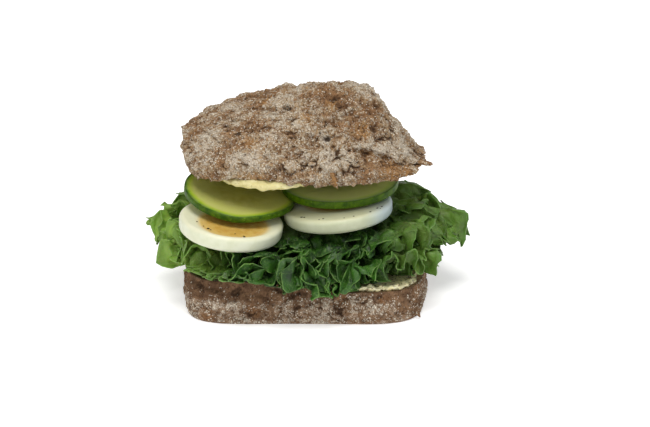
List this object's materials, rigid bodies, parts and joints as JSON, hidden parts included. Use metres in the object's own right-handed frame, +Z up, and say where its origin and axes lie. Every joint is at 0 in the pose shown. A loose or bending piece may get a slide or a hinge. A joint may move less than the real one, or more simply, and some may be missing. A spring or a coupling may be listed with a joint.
{
  "type": "egg and cucumber sandwich",
  "caption": "Sandwich of a floury rustic rye roll, closed over curly lettuce, boiled egg slices and cucumber slices, with a thin spread on both cut faces.",
  "frame": {"origin": "centre of the flat base that the lower half of the roll stands on", "axes": "+Z up out of the base, +X to the sandwich's right as seen from the front, -Y towards the front where the slices show"},
  "size_m": [0.1477, 0.1218, 0.0944],
  "materials": {
    "crust": "rough brown rye crust dusted with flour",
    "spread": "pale yellow buttery spread, softly glossy",
    "lettuce": "fresh green leaf with a waxy shine",
    "egg_white": "smooth moist boiled egg white",
    "egg_yolk": "crumbly boiled yolk",
    "cucumber": "moist pale green flesh with a dark green skin"
  },
  "bodies": {
    "root": {"bread_lower": "crust", "bread_upper": "crust", "spread_lower": "spread", "spread_upper": "spread", "lettuce_low_front": "lettuce", "lettuce_low_rear": "lettuce", "lettuce_high_left": "lettuce", "lettuce_high_right": "lettuce", "egg_white_front_left": "egg_white", "egg_white_front_right": "egg_white", "egg_white_rear_left": "egg_white", "egg_white_rear_right": "egg_white", "egg_yolk_front_left": "egg_yolk", "egg_yolk_front_right": "egg_yolk", "egg_yolk_rear_left": "egg_yolk", "egg_yolk_rear_right": "egg_yolk", "cucumber_front_left": "cucumber", "cucumber_front_right": "cucumber", "cucumber_rear_left": "cucumber", "cucumber_rear_right": "cucumber"}
  },
  "joints": []
}
